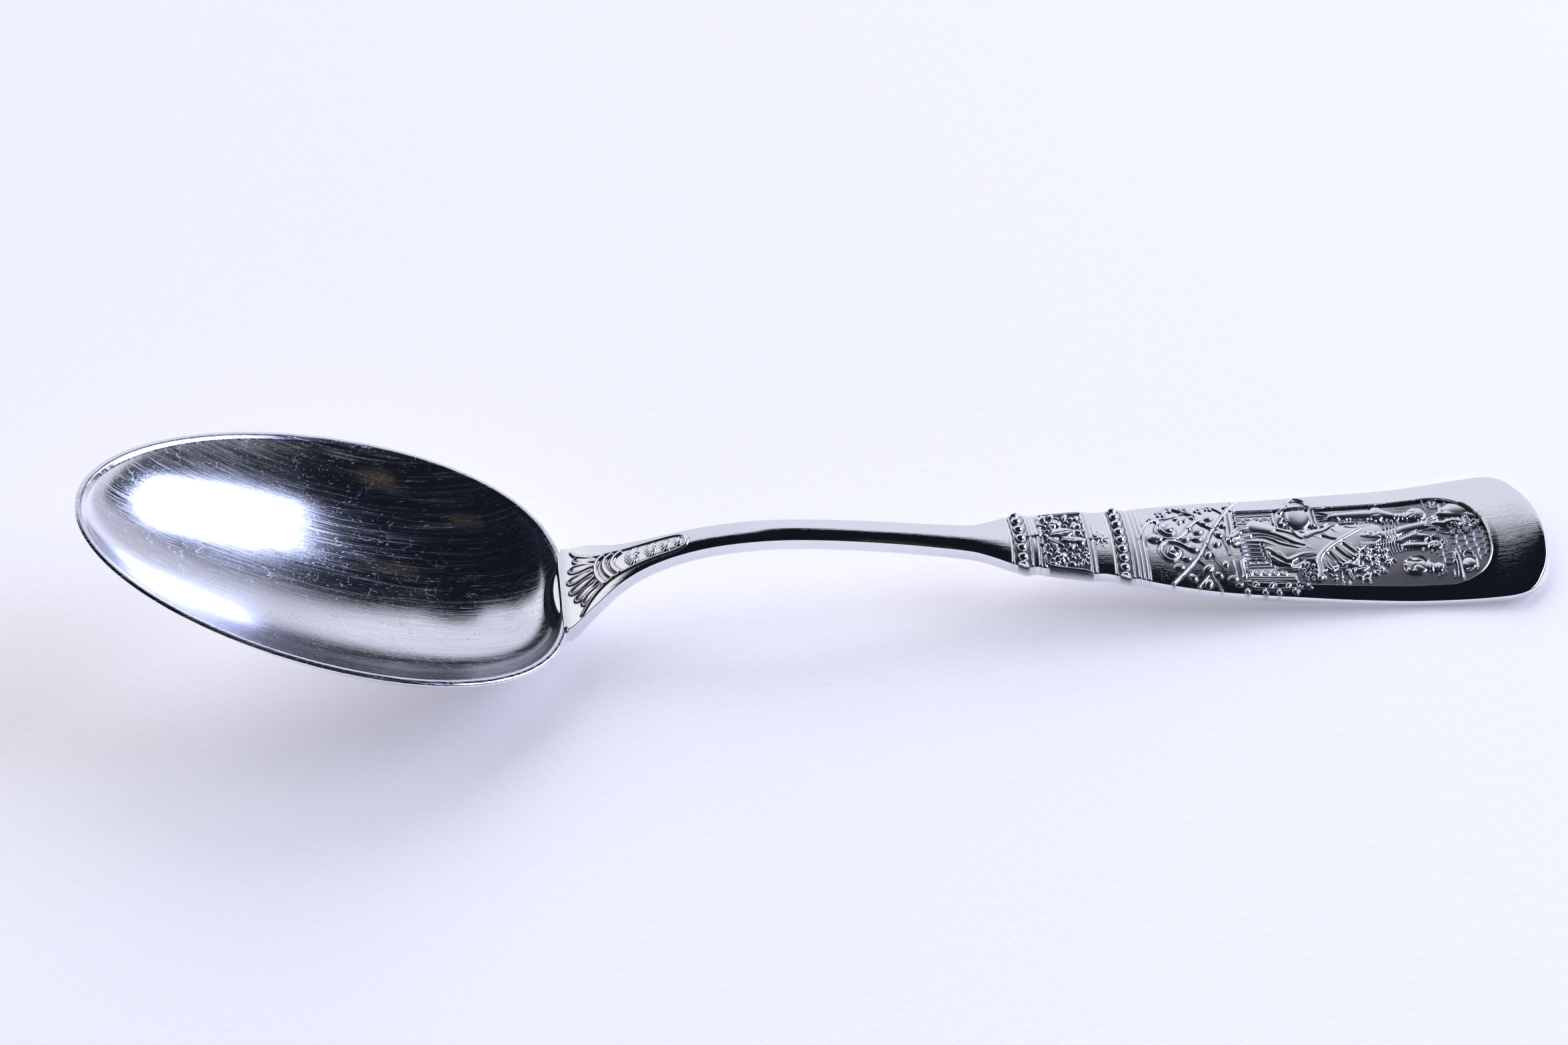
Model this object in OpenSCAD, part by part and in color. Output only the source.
// Souvenir serving spoon, one silver forging shown as its named zones and its struck relief.
// Lies as it rests on a table: X runs along the spoon, bowl at -X, handle end at +X, Z up.
// The origin is on the table, 108 mm from the bowl's tip.

/* [Size] */
// length over all, bowl tip to handle end
overall_length = 215.2; // [140:1:230]

/* [Bowl] */
// length of the bowl along the table
bowl_length = 68.5; // [60:0.5:76]
// width across the bowl's rim
bowl_width = 46.6; // [40:0.2:52]
// depth from the rim plane down to the inside, measured plumb
bowl_depth = 12.4; // [9:0.1:15]
// thickness of the bowl's bottom
bowl_wall = 1.2; // [0.8:0.1:2]
// width of the flat rim
rim_width = 1.1; // [0.8:0.1:2]
// rise of the rim toward the tip, per millimetre of length
rim_rise = 0.39; // [0.2:0.01:0.45]

/* [Handle] */
// half width of the stem where it is narrowest
stem_half = 2.1; // [1.6:0.05:3]
// half width of the plate near the handle end
plate_half = 12.1; // [9:0.1:14]
// thickness of the plate at its end
plate_edge = 1.3; // [1:0.05:2]
// thickness of the stem
stem_thick = 2.1; // [1.8:0.05:3]
// how far the sunk panel lies under its border
panel_depth = 0.45; // [0.3:0.05:0.6]

/* [Ornament] */
// diameter of the beads in the two bead rows
bead = 1.45; // [1:0.05:1.6]
// height of the relief against its drawn height
relief = 1; // [0.6:0.05:1.3]
// beads in the row nearer the bowl
lower_beads_n = 6; // [4:1:7]
// beads in the row nearer the plate
upper_beads_n = 9; // [7:1:10]

/* [Choice] */
// which sub-part to draw

/* [Hidden] */

nominal = 215.2;
tip = -108;
end = tip + nominal;
heel = tip + bowl_length;
fit = 0.01;              // clearance under each struck piece
sink = 0.06;             // depth to which fillets and frames run into their bar
end_cap = 8.6;           // length of the plate's rounded end
foot_start = 85;         // between these two the underside lies flat on the table
foot_end = 91;
panel_start = 60.8;
panel_end = 98.4;
panel_arch = 8.4;
silver = [0.78, 0.78, 0.80];
bright = [0.88, 0.88, 0.90];
dark = [0.55, 0.55, 0.58];

// smooth curve through a list of [x, value] stations
function slot(t, x) = max(0, min(len(t) - 2, len([for (p = t) if (p[0] <= x) 1]) - 1));
function grade(t, i) = let (a = t[max(i - 1, 0)], b = t[min(i + 1, len(t) - 1)])
    (b[1] - a[1]) / (b[0] - a[0]);
function through(t, x) = let (i = slot(t, x), a = t[i], b = t[i + 1], h = b[0] - a[0],
    s = max(0, min(1, (x - a[0]) / h)), s2 = s * s, s3 = s2 * s)
    (2 * s3 - 3 * s2 + 1) * a[1] + (s3 - 2 * s2 + s) * h * grade(t, i)
    + (3 * s2 - 2 * s3) * b[1] + (s3 - s2) * h * grade(t, i + 1);

// stations along the neck, the stem and the handle
rise_line = [[-48, 6.6], [-40, 7.0], [-36, 9.4], [-28, 13.2], [-20, 15.4], [-12, 16], [-4, 15.4],
    [8, 13.3], [24, 9.8], [40, 7.2], [52, 5], [64, 3.3], [72, 2.45],
    [79, 1.75], [foot_start, plate_edge],
    [foot_end, plate_edge], [97, plate_edge + 0.26], [103, plate_edge + 0.72],
    [end, plate_edge + 1.06]];
width_line = [[-48, 10.5], [-40, 8], [-36, 6.1], [-32, 3.9], [-28, 2.8], [-22, 2.25],
    [-10, stem_half], [4, stem_half + 0.05], [14, 2.35], [20, 2.7], [23, 3.6], [26, 4.8], [30, 5.3],
    [34, 5.9], [37, 6.3], [39, 6.15], [41, 6.5], [44, 7], [48, 7.8], [56, 9], [66, 9.8],
    [76, 10.7], [86, 11.4], [97, plate_half], [108, plate_half]];
thick_line = [[-48, 3.4], [-40, 3.1], [-34, 2.6], [-26, 2.2], [-10, stem_thick], [10, stem_thick],
    [24, 2], [40, 1.8], [56, 1.6], [72, 1.42], [79, plate_edge],
    [108, plate_edge]];
dome_line = [[-48, 0.1], [-40, 0.2], [-30, 0.3], [-22, 0.35], [14, 0.35], [26, 0.3], [46, 0.3],
    [60, 0.4], [88, 0.5], [108, 0.4]];

function cap(x) = let (t = min(1, max(0, (x - end + end_cap) / end_cap)))
    pow(1 - pow(t, 2.4), 1 / 2.4);
function half_w(x) = through(width_line, x) * cap(x);
function edge_z(x) = through(rise_line, x);
function thick(x) = through(thick_line, x);
function crown(x) = through(dome_line, x);
function top_z(x, y) = let (w = max(half_w(x), 0.1))
    edge_z(x) + crown(x) * (1 - pow(min(1, abs(y / w)), 2));
function panel_w(x) = let (t = min(1, max(0, (x - panel_end + panel_arch) / panel_arch)))
    (7.1 + 1.7 * min(1, (x - panel_start) / 30)) * pow(1 - pow(t, 2.2), 1 / 2.2);
function floor_z(x) = top_z(x, panel_w(min(x, 91))) - panel_depth;
function ground(x, y) = x > panel_start ? floor_z(x) : top_z(x, y);

// bowl: u runs 0 to 1 from the tip to the heel
function swell(u) = pow(max(u, 0), 0.5) * pow(max(1 - u, 0), 0.355) / 0.5605;
function sag(u) = pow(swell(u), 1.6);
function rim_line(x) = rim_rise * (heel - x);
heel_z = max([for (i = [1:199]) let (u = i / 200)
    (bowl_depth + bowl_wall) * sag(u) - rim_line(tip + bowl_length * u)]);
function rim_z(x) = heel_z + rim_line(x);
function bowl_half(u, inset) = (bowl_width / 2 - inset) * swell(u);
function bowl_z(x, y, inset, depth) = let (u = (x - tip - inset) / (bowl_length - 2 * inset),
    w = max(bowl_half(u, inset), 0.001))
    rim_z(x) - depth * sag(u) * (1 - pow(min(1, abs(y / w)), 2.6));
rings = 9;
spokes = 56;
hub = tip + 0.55 * bowl_length;
function bowl_point(r, j, inset, depth) = let (s = pow(r / rings, 0.85), a = 360 * j / spokes,
    u = (1 - cos(a)) / 2, ox = tip + inset + (bowl_length - 2 * inset) * u,
    oy = bowl_half(u, inset) * sign(sin(a)), x = hub + s * (ox - hub), y = s * oy)
    [x, y, r == rings ? rim_z(x) : bowl_z(x, y, inset, depth)];
function bowl_skin(inset, depth) = concat([[hub, 0, bowl_z(hub, 0, inset, depth)]],
    [for (r = [1:rings], j = [0:spokes - 1]) bowl_point(r, j, inset, depth)]);
// faces of one skin, seen from below; "flip" turns them to be seen from above
function at_ring(r, j, first) = first + 1 + (r - 1) * spokes + j % spokes;
function turned(f, flip) = flip ? f : [f[2], f[1], f[0]];
function skin_faces(first, flip) = concat(
    [for (j = [0:spokes - 1])
        turned([first, at_ring(1, j, first), at_ring(1, j + 1, first)], flip)],
    [for (r = [1:rings - 1], j = [0:spokes - 1])
        turned([at_ring(r, j, first), at_ring(r + 1, j, first), at_ring(r + 1, j + 1, first)],
            flip)],
    [for (r = [1:rings - 1], j = [0:spokes - 1])
        turned([at_ring(r, j, first), at_ring(r + 1, j + 1, first), at_ring(r, j + 1, first)],
            flip)]);

module bowl_shell() {
    n = 1 + rings * spokes;
    polyhedron(
        points = concat(bowl_skin(0, bowl_depth + bowl_wall), bowl_skin(rim_width, bowl_depth)),
        faces = concat(skin_faces(0, false), skin_faces(n, true),
            [for (j = [0:spokes - 1])
                [at_ring(rings, j, 0), at_ring(rings, j + 1, n), at_ring(rings, j, n)]],
            [for (j = [0:spokes - 1])
                [at_ring(rings, j, 0), at_ring(rings, j + 1, 0), at_ring(rings, j + 1, n)]]),
        convexity = 6);
}
module bowl_solid() {
    n = 1 + rings * spokes;
    polyhedron(points = concat(bowl_skin(0, bowl_depth + bowl_wall), [[hub, 0, rim_z(hub)]]),
        faces = concat(skin_faces(0, false),
            [for (j = [0:spokes - 1]) [at_ring(rings, j, 0), at_ring(rings, j + 1, 0), n]]),
        convexity = 4);
}

// bar of the handle's own cross-section, between two places along it
function section(x, lower, crowned) = let (w = max(half_w(x), 0.4), z = edge_z(x) - lower,
    t = x > foot_start && x < foot_end ? z : thick(x) - lower, c = min(0.35, t / 3),
    d = crowned ? crown(x) : 0)
    [[x, -w + c, z - t], [x, w - c, z - t], [x, w, z - t + c], [x, w, z],
     [x, 0.66 * w, z + 0.56 * d], [x, 0.33 * w, z + 0.89 * d], [x, 0, z + d],
     [x, -0.33 * w, z + 0.89 * d], [x, -0.66 * w, z + 0.56 * d], [x, -w, z], [x, -w, z - t + c]];
module loft(s) {
    m = len(s[0]);
    n = len(s);
    polyhedron(points = [for (r = s) for (p = r) p],
        faces = concat([[for (i = [0:m - 1]) i]], [[for (i = [m - 1:-1:0]) (n - 1) * m + i]],
            [for (k = [0:n - 2], i = [0:m - 1])
                [k * m + i, (k + 1) * m + i, k * m + (i + 1) % m]],
            [for (k = [0:n - 2], i = [0:m - 1])
                [k * m + (i + 1) % m, (k + 1) * m + i, (k + 1) * m + (i + 1) % m]]),
        convexity = 4);
}
module bar(x0, x1, n) {
    loft([for (i = [0:n]) section(x0 + (x1 - x0) * i / n, 0, true)]);
}

// stands children on the ground of the handle at x, y, turned by a; "reach" is how far
// they spread, so that a flat foot clears the hollow curve of the handle
module on(x, y, a = 0, reach = 0, lift = fit) {
    dx = (ground(x + 0.4, y) - ground(x - 0.4, y)) / 0.8;
    dy = (ground(x, y + 0.2) - ground(x, y - 0.2)) / 0.4;
    translate([x, y, ground(x, y) + lift + reach * reach / 360])
        rotate([atan(dy), -atan(dx), 0]) rotate(a) scale([1, 1, relief]) children();
}
// round-topped mound of length l, width w and height h
module mound(l, w, h, n = 12) {
    hull() for (s = [[0, 1], [0.45, 0.92], [0.8, 0.68], [1, 0.3]])
        translate([0, 0, s[0] * (h - 0.04)]) linear_extrude(0.04)
            scale([l * s[1], w * s[1]]) circle(0.5, $fn = n);
}
// pointed leaf with a raised midrib, stalk end at the origin
module leaf(l, w, h) {
    hull() {
        linear_extrude(0.08) polygon([[0, 0], [0.3 * l, w / 2], [0.65 * l, 0.38 * w], [l, 0],
            [0.65 * l, -0.38 * w], [0.3 * l, -w / 2]]);
        translate([0.12 * l, -0.05, 0]) cube([0.66 * l, 0.1, h]);
    }
}
// ridge that runs through points [x, y] on the ground; r is its half width
module ridge(pts, r, h, taper = 0, lift = fit) {
    for (i = [0:len(pts) - 2]) hull() for (j = [i, i + 1]) let (s = 1 - taper * j / len(pts))
        on(pts[j][0], pts[j][1], lift = lift)
            cylinder(h = h * s, r1 = r * s, r2 = r * s * 0.45, $fn = 6);
}
module bead_at(x, y, d) {
    on(x, y) difference() {
        translate([0, 0, 0.2 * d]) sphere(d / 2, $fn = 24);
        translate([-d, -d, -2 * d]) cube([2 * d, 2 * d, 2 * d]);
    }
}
// raised fillet across the whole handle
module fillet(x, r, h, bow = 0) {
    ridge([for (i = [-3:3]) [x - bow * i * i / 9, i / 3.45 * half_w(x)]], r, h, lift = -sink);
}
// row of flower petals round a boss
module flower(d, h, n = 5) {
    mound(d * 0.42, d * 0.42, h, 8);
    for (i = [0:n - 1]) rotate(360 * i / n + 7) translate([d * 0.12, 0, 0])
        leaf(d * 0.4, d * 2 / n / 2.4, h * 0.7);
}
module sized() {
    scale(overall_length / nominal) children();
}

module bowl() {
    color(silver) sized() bowl_shell();
}
module neck() {
    color(silver) sized() difference() {
        loft([for (i = [0:9]) section(-47 + 25 * i / 9, 0, true)]);
        bowl_solid();
    }
}
module neck_border() {
    color(bright) sized() for (s = [-1, 1])
        ridge([for (x = [-37.6, -36, -34, -32, -30, -28, -26, -24, -22.8])
            [x, s * (half_w(x) - 0.45)]], 0.34, 0.4);
}
module neck_palmette() {
    color(bright) sized() for (i = [-2:2])
        on(-36.4, 0.9 * i, 180 - 22 * i, 1.2) leaf(1.9 - 0.15 * abs(i), 0.95, 0.35);
}
module neck_ribs() {
    color(bright) sized() for (i = [0:2])
        ridge([for (j = [-3:3]) [-35 + 1.35 * i - 0.07 * j * j, j * (1.15 - 0.22 * i)]],
            0.36, 0.42);
}
module neck_rosettes() {
    color(bright) sized() for (p = [[-30.1, 2.9], [-27.4, 2.3], [-25.3, 1.7], [-23.7, 1.3]])
        on(p[0], 0, 0, p[1] / 2) flower(p[1], 0.45, 6);
}
module stem() {
    color(silver) sized() bar(-22, 25.4, 26);
}
module lower_band() {
    color(silver) sized() {
        bar(25.4, 30.4, 4);
        fillet(26, 0.38, 0.42);
        fillet(28.9, 0.34, 0.42);
        fillet(29.8, 0.34, 0.42);
    }
}
module lower_beads() {
    n = lower_beads_n;
    color(bright) sized() for (i = [0:n - 1])
        bead_at(27.4, (i - (n - 1) / 2) * (8.4 / (n - 1)), bead);
}
module cartouche() {
    color(silver) sized() {
        bar(30.4, 37.4, 5);
        ridge([[31, 4.2], [31, 1.4], [31, -1.4], [31, -4.3]], 0.25, 0.35, lift = -sink);
        ridge([[31, -4.3], [33, -4.6], [35, -4.9], [36.6, -5.2]], 0.25, 0.35, lift = -sink);
        ridge([[36.6, -5.2], [36.8, -2], [36.8, 2], [36.6, 5.2]], 0.25, 0.35, lift = -sink);
        ridge([[31, 4.2], [33, 4.7], [35, 5], [36.6, 5.2]], 0.25, 0.35, lift = -sink);
    }
}
module cartouche_foliage() {
    color(bright) sized() {
        on(33, 3, 0, 1) flower(2.3, 0.7);
        on(33.2, -2.6, 20, 1) flower(2.2, 0.6);
        on(35.8, 0.6, 0, 0.8) mound(1.5, 1.5, 0.75);
        for (p = [[32.4, 1.6, 60], [34, 1.4, 10], [34.2, 2.6, 40], [34.4, -1, -30], [32.2, -0.6, 190],
                [35.6, -1.6, -20], [32, 0.6, 150], [35.2, 3.4, 20]])
            on(p[0], p[1], p[2], 0.8) leaf(1.5, 0.8, 0.5);
        for (p = [[32, -4], [32.6, -4.1], [35.2, -4.2], [35.8, -4.1], [35, -3.3]])
            on(p[0], p[1]) mound(0.45, 0.45, 0.4, 8);
    }
}
module waist() {
    color(silver) sized() {
        bar(37.4, 41.2, 4);
        on(39.2, 0.8, lift = -sink) flower(1.9, 0.56, 6);
    }
}
module upper_band() {
    color(silver) sized() {
        bar(41.2, 46, 4);
        fillet(41.5, 0.3, 0.4);
        fillet(43.8, 0.34, 0.42);
        fillet(44.8, 0.34, 0.42);
        fillet(45.6, 0.24, 0.3);
    }
}
module upper_beads() {
    n = upper_beads_n;
    color(bright) sized() for (i = [0:n - 1])
        bead_at(42.6, (i - (n - 1) / 2) * (12.6 / (n - 1)), bead - 0.1);
}
module handle_plate() {
    color(silver) sized() loft(concat(
        [for (i = [0:7]) section(46 + 14.2 * i / 7, 0, true)],
        [for (x = [60.4, 64.9, 69.4, 73.9, 78.4, 82, foot_start + 0.1, foot_end - 0.1, 94, 97])
            section(x, edge_z(x) - floor_z(x), false)],
        [for (a = [10:10:80]) let (x = end - end_cap + end_cap * sin(a))
            section(x, edge_z(x) - floor_z(x), false)],
        [let (x = end - 0.06) section(x, edge_z(x) - floor_z(x), false)]));
}

// the raised border is one ring of four-cornered sections between two round-ended outlines
sides = 26;
function along(x0, x1, i) = x0 + (x1 - x0) * sin(90 * i / sides);
function round_end(x0, x1, i) = let (x = along(x0, x1, i), w = x1 > 100 ? half_w(x) : panel_w(x))
    [x, i == sides ? 0 : w];
function outline(x0, x1) = concat([for (i = [0:sides]) round_end(x0, x1, i)],
    [for (i = [sides - 1:-1:0]) let (p = round_end(x0, x1, i)) [p[0], -p[1]]]);
module panel_border() {
    o = outline(60.4, end - 0.05);
    p = outline(panel_start, panel_end);
    n = len(o);
    // four corners of each section: outer low, outer high, inner high, inner low
    pts = [for (i = [0:n - 1]) each [
        [o[i][0], o[i][1], floor_z(o[i][0]) + fit], [o[i][0], o[i][1], top_z(o[i][0], o[i][1])],
        [p[i][0], p[i][1], top_z(p[i][0], p[i][1])], [p[i][0], p[i][1], floor_z(p[i][0]) + fit]]];
    color(silver) sized() polyhedron(points = pts, faces = concat(
        [for (i = [0:n - 1], k = [0:3])
            [4 * i + k, 4 * i + (k + 1) % 4, (4 * i + 4) % (4 * n) + k]],
        [for (i = [0:n - 1], k = [0:3])
            [4 * i + (k + 1) % 4, (4 * i + 4) % (4 * n) + (k + 1) % 4,
                (4 * i + 4) % (4 * n) + k]]), convexity = 4);
}

// a scroll that winds in from its stalk
module volute(x, y, r, dir) {
    ridge([for (i = [0:11]) let (a = dir * (i * 42 - 60), q = r * (1 - i / 14))
        [x + q * cos(a), y + q * sin(a)]], 0.32, 0.5, 0.2);
}
module volutes() {
    color(bright) sized() {
        volute(50.4, 3.2, 1.5, 1);
        volute(50.2, -1, 1.6, -1);
        ridge([[51.4, 1.8], [53, 3.2], [54.6, 5], [56.4, 6.8]], 0.3, 0.5);
        ridge([[51.3, -0.2], [52.6, 0.6], [53.8, 0.8]], 0.3, 0.5);
    }
}
module branches() {
    color(bright) sized() {
        ridge([[49.2, -7.3], [51.4, -4.8], [53.6, -2.2], [55.4, 1], [57.2, 4.6], [59, 7]], 0.34, 0.6);
        ridge([[54.8, 1.8], [55.8, 0.2], [56.4, -0.9]], 0.26, 0.45);
        ridge([[53.7, -2.4], [54.8, -4.4], [55.6, -6.4], [56.4, -8]], 0.3, 0.5);
        ridge([[46.8, 1.4], [46.9, 3.4], [47.6, 5.2], [49.4, 6.4], [51.5, 6.8]], 0.26, 0.45);
    }
}
module buds() {
    color(bright) sized() {
        for (p = [[53.1, 1.9, 200], [57, 0.9, 30], [53.3, -0.5, 170], [52.1, -2.8, 150],
                [50.8, -3.8, 190], [55.6, -1.6, -20], [55.2, -4, 20], [52.3, -6.2, -120],
                [54.2, -6.8, -60], [57.4, -1.6, 0], [57.3, -3.9, -10], [57.6, 3, 20],
                [55.4, 3.6, 60], [53.5, 4.1, 150], [51.2, -6.6, 200]])
            on(p[0], p[1], p[2], 0.7) mound(1.2, 0.8, 0.6, 8);
        on(46.6, 1.1, 0, 1) leaf(2.2, 1.7, 0.6);
    }
}
module ivy() {
    color(bright) sized() for (p = [[48.4, 5.9, 60], [49.8, 6.9, 110], [51.6, 7.4, 70],
            [53.6, 7.6, 100], [55.4, 7.8, 60], [57.2, 7.8, 120], [58.4, 7.4, 20], [52.2, 5.6, 250],
            [49.4, 5, 200], [55.9, 5.4, 30]])
        on(p[0], p[1], p[2], 0.8) leaf(1.4, 1, 0.45);
}
module pedestal() {
    color(dark) sized() {
        on(61.6, 4.8, 0, 1.5) translate([-0.5, -1.9, 0]) cube([0.7, 3.8, 0.5]);
        on(62.6, 4.9, 0, 1.5) translate([-0.5, -1.6, 0]) cube([0.8, 3.2, 0.6]);
        on(64.2, 5.2, 0, 2) hull() {
            translate([-1.2, -1.3, 0]) cube([2.6, 2.6, 0.1]);
            translate([-1.1, -1.1, 0]) cube([2.4, 2.2, 0.7]);
        }
        on(66.2, 5.4, 0, 1.5) translate([-0.4, -1.6, 0]) cube([0.5, 3.2, 0.7]);
    }
}
module urn() {
    color(bright) sized() {
        on(67.26, 5.62) mound(1.1, 1.6, 0.66);
        on(68.33, 5.74) mound(1.14, 2.4, 0.86);
        on(70.3, 5.9, 0, 1.6) mound(3.6, 3.4, 1.1);
        on(72.46, 6.07, 0, 0.5) mound(0.92, 2.5, 0.78);
        ridge([[68.7, 7.2], [69.6, 8.1], [71.5, 8.1], [72.2, 7.2]], 0.22, 0.5);
    }
}
module gown() {
    color(silver) sized() {
        // skirt falls in long folds from the belt down to its hem
        for (i = [0:6]) ridge([[61.6 + 0.3 * i, -1.5 + 0.72 * i], [66, -1.3 + 0.72 * i],
            [71, -0.6 + 0.64 * i], [76, 0.3 + 0.5 * i], [82.6, 1.2 + 0.3 * i]], 0.38, 0.75);
        // overskirt drawn up to one side
        ridge([[79.7, 3.7], [77.4, 2.2], [75.2, 0.4], [73.2, -1.2], [72.2, -3]], 0.45, 1);
    }
}
module bodice() {
    color(silver) sized() {
        on(83.3, 2.6, 0, 0.6) mound(1, 2.6, 0.9);
        on(86.3, 2.6, 0, 2.2) mound(5, 3, 1.1, 16);
        on(88.4, 5, 0, 1.6) mound(3.6, 2.8, 1.2);
        on(84.9, 5.4, 0, 1) mound(2.4, 1.9, 1);
        on(82.4, 5.8, 0, 1) mound(2.2, 2.5, 1.1);
        ridge([[81.6, 5.9], [79, 5.8], [76.4, 5.8], [74.4, 5.8]], 0.65, 0.9, 0.5);
        ridge([[88.4, 0.8], [88.8, -1.6], [88.2, -3.6], [86, -4.6]], 0.8, 1);
    }
}
module head() {
    color(bright) sized() {
        on(91.3, 3.6, 0, 1) mound(2.2, 1.6, 0.9);
        on(94.1, 3.4, -10, 1.4) mound(3, 2.3, 1.3, 16);
    }
}
module hat() {
    color(silver) sized() {
        on(94.6, 6, -8, 2) mound(5.8, 2.3, 0.9, 16);
        on(95.2, 6.3, -8, 1.4) translate([0, 0, 0.85]) mound(2.6, 1.3, 0.5);
    }
}
module posy() {
    color(bright) sized() for (p = [[78, -1.2, 0], [80, -0.6, 20], [82, -0.4, 40], [79, -2.8, 60],
            [81, -2.4, 10], [83, -2, 50], [84.6, -1, 0]])
        on(p[0], p[1], p[2], 1) flower(1.9, 0.85, 4);
}
module bench() {
    color(dark) sized() {
        on(63.4, -4.4, 0, 2) translate([-2, -1.4, 0]) cube([4.2, 2.8, 0.5]);
        for (x = [62.3, 63.7, 65.1]) on(x, -4.7, 0, 1.5)
            translate([0, 0, 0.52]) mound(1.1, 1.1, 0.3);
        for (x = [62.6, 64.2]) on(x, -3.5, 0, 1.5) translate([0, 0, 0.52]) mound(0.7, 0.7, 0.25);
    }
}
module shelf() {
    color(dark) sized() {
        ridge([[93, -2.2], [92.9, -4], [92.7, -6]], 0.3, 0.9);
        ridge([[92.1, -2.4], [92, -4], [91.8, -6]], 0.22, 0.7);
    }
}
module jug() {
    color(bright) sized() {
        on(94.8, -4.2, 0, 1) mound(2.1, 2.2, 0.9);
        ridge([[94.4, -2.8], [95.1, -2.2], [95.8, -2.7]], 0.2, 0.5);
    }
}
module cobbles() {
    color(dark) sized() for (i = [0:3], j = [0:4]) {
        x = 92.8 + 1.35 * i;
        y = 1.3 - 0.95 * (j - 1) + (i % 2) * 0.45;
        if (abs(y) < panel_w(x) - 0.8 && x < 98 && y < 1.9 && y > -1.8)
            on(x, y, 0, 0.5) mound(1.1, 0.8, 0.35, 8);
    }
}
module hanging_vine() {
    color(bright) sized() {
        for (p = [[67.2, -5.6, 200], [69, -5.8, 160], [70.6, -5.4, 210], [72.4, -5.6, 180]])
            on(p[0], p[1], p[2], 0.9) leaf(1.5, 0.9, 0.5);
        ridge([[73, -4.6], [71, -4.7], [69, -4.9], [67.4, -4.9]], 0.22, 0.4);
    }
}
module plants() {
    color(bright) sized() {
        for (p = [[75, -2.6, 40], [75.4, -4, 10], [76.2, -5.4, -30], [77.6, -4.6, -60],
                [79.4, -5.2, -20], [81.2, -5.4, 20], [74.2, -4.8, 200]])
            on(p[0], p[1], p[2], 1.1) leaf(2.1, 0.9, 0.6);
    }
}

bowl();
neck();
neck_border();
neck_palmette();
neck_ribs();
neck_rosettes();
stem();
lower_band();
lower_beads();
cartouche();
cartouche_foliage();
waist();
upper_band();
upper_beads();
handle_plate();
panel_border();
volutes();
branches();
buds();
ivy();
pedestal();
urn();
gown();
bodice();
head();
hat();
posy();
bench();
shelf();
jug();
cobbles();
hanging_vine();
plants();
